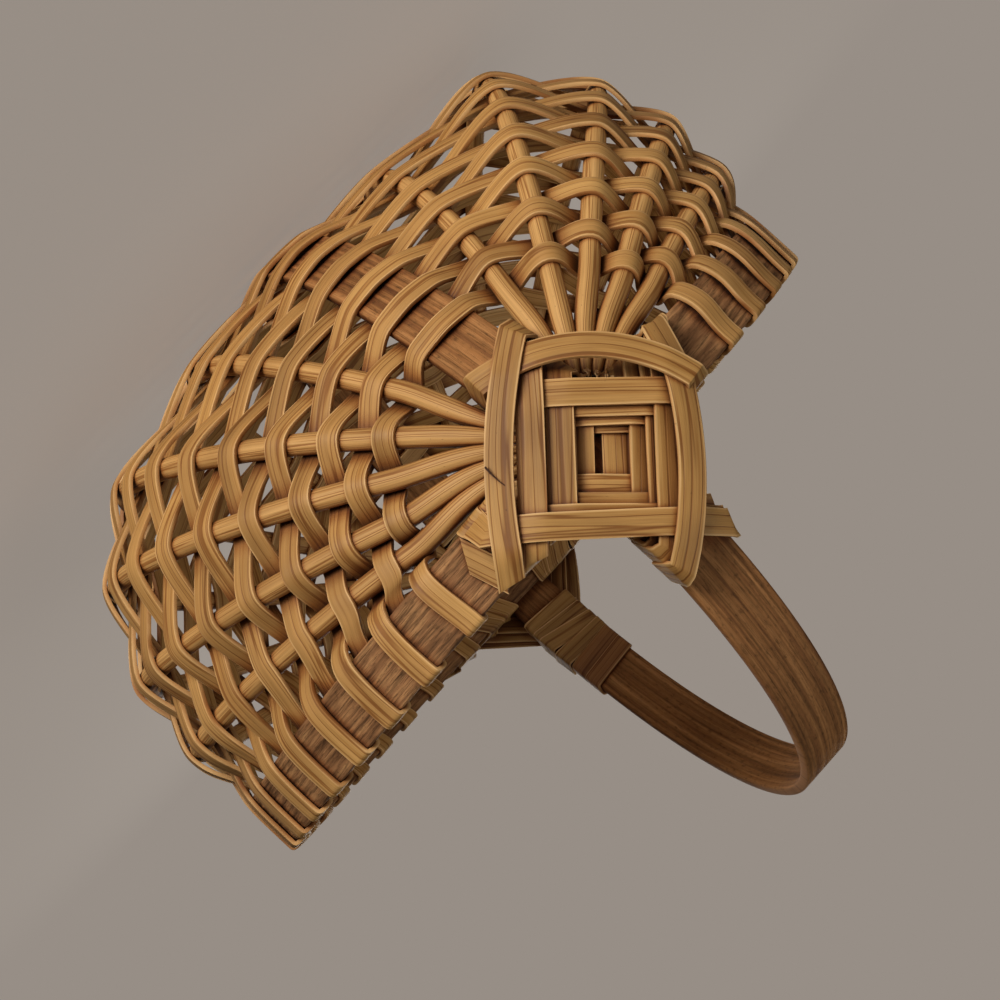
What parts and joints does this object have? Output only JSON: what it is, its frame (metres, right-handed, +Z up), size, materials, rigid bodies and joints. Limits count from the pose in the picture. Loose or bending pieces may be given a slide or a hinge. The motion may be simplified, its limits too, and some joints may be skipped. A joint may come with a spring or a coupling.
{
  "type": "egg basket",
  "caption": "Round-bottomed egg basket with two swelling lobes, an arched hoop handle and lashed ears, woven of flat reed over bent ribs.",
  "frame": {"origin": "on the ground, in the middle of the face that the basket rests on, under the keel and the middle of the handle", "axes": "+Z up along the handle, +X towards the ear that faces the viewer, +Y towards the right lobe as seen from that ear"},
  "size_m": [0.208, 0.2191, 0.2021],
  "materials": {
    "hoop_wood": "rough bent wood, darker brown",
    "rib_reed": "natural round reed, matt",
    "weaver_reed": "natural flat reed, matt golden tan",
    "lashing_reed": "natural flat reed, matt pale tan"
  },
  "bodies": {
    "root": {"handle_hoop": "hoop_wood", "rim_hoop": "hoop_wood", "rib_right_1": "rib_reed", "rib_right_2": "rib_reed", "rib_right_3": "rib_reed", "rib_right_4": "rib_reed", "rib_right_5": "rib_reed", "rib_left_1": "rib_reed", "rib_left_2": "rib_reed", "rib_left_3": "rib_reed", "rib_left_4": "rib_reed", "rib_left_5": "rib_reed", "lashing_front": "lashing_reed", "lashing_back": "lashing_reed", "weaver_1": "weaver_reed", "weaver_2": "weaver_reed", "weaver_3": "weaver_reed", "weaver_4": "weaver_reed", "weaver_5": "weaver_reed", "weaver_6": "weaver_reed"}
  },
  "joints": []
}
